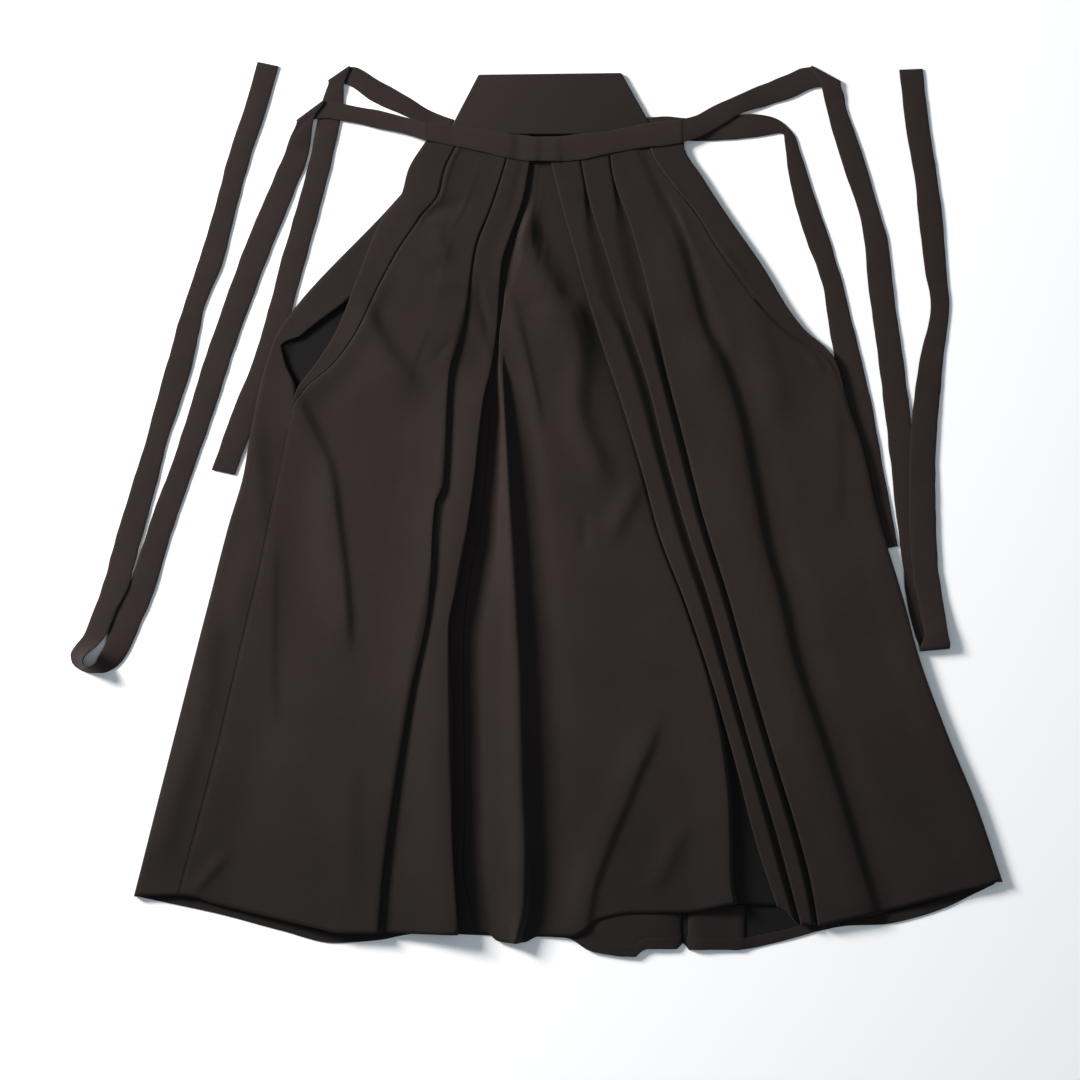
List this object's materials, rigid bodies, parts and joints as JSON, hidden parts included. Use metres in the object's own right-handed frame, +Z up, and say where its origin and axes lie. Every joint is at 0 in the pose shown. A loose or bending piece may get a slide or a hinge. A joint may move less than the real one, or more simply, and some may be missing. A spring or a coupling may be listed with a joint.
{
  "type": "hakama trousers",
  "caption": "Pleated wide-legged trousers laid flat, front up, with a stiff back board, front pleats facing the centre, open side slits, and long front and back ties laid beside them",
  "frame": {"origin": "middle of the bounding box, on the surface that the trousers lie on", "axes": "+X to the wearer's left, which is the viewer's right; +Y from the hem to the waist; +Z up from the surface"},
  "size_m": [1.0713, 1.0288, 0.0222],
  "materials": {
    "right_leg_back": "matt black woven cloth",
    "left_leg_back": "matt black woven cloth",
    "right_leg_front": "matt black woven cloth",
    "left_leg_front": "matt black woven cloth",
    "koshi_ita": "matt black woven cloth over a stiff board",
    "front_waistband": "matt black woven cloth, folded",
    "front_tie_right": "matt black woven cloth, folded",
    "front_tie_left": "matt black woven cloth, folded",
    "back_tie_right": "matt black woven cloth, folded",
    "back_tie_left": "matt black woven cloth, folded"
  },
  "bodies": {
    "root": {"right_leg_back": "right_leg_back", "left_leg_back": "left_leg_back", "right_leg_front": "right_leg_front", "left_leg_front": "left_leg_front", "koshi_ita": "koshi_ita", "front_waistband": "front_waistband", "front_tie_right": "front_tie_right", "front_tie_left": "front_tie_left", "back_tie_right": "back_tie_right", "back_tie_left": "back_tie_left"}
  },
  "joints": []
}
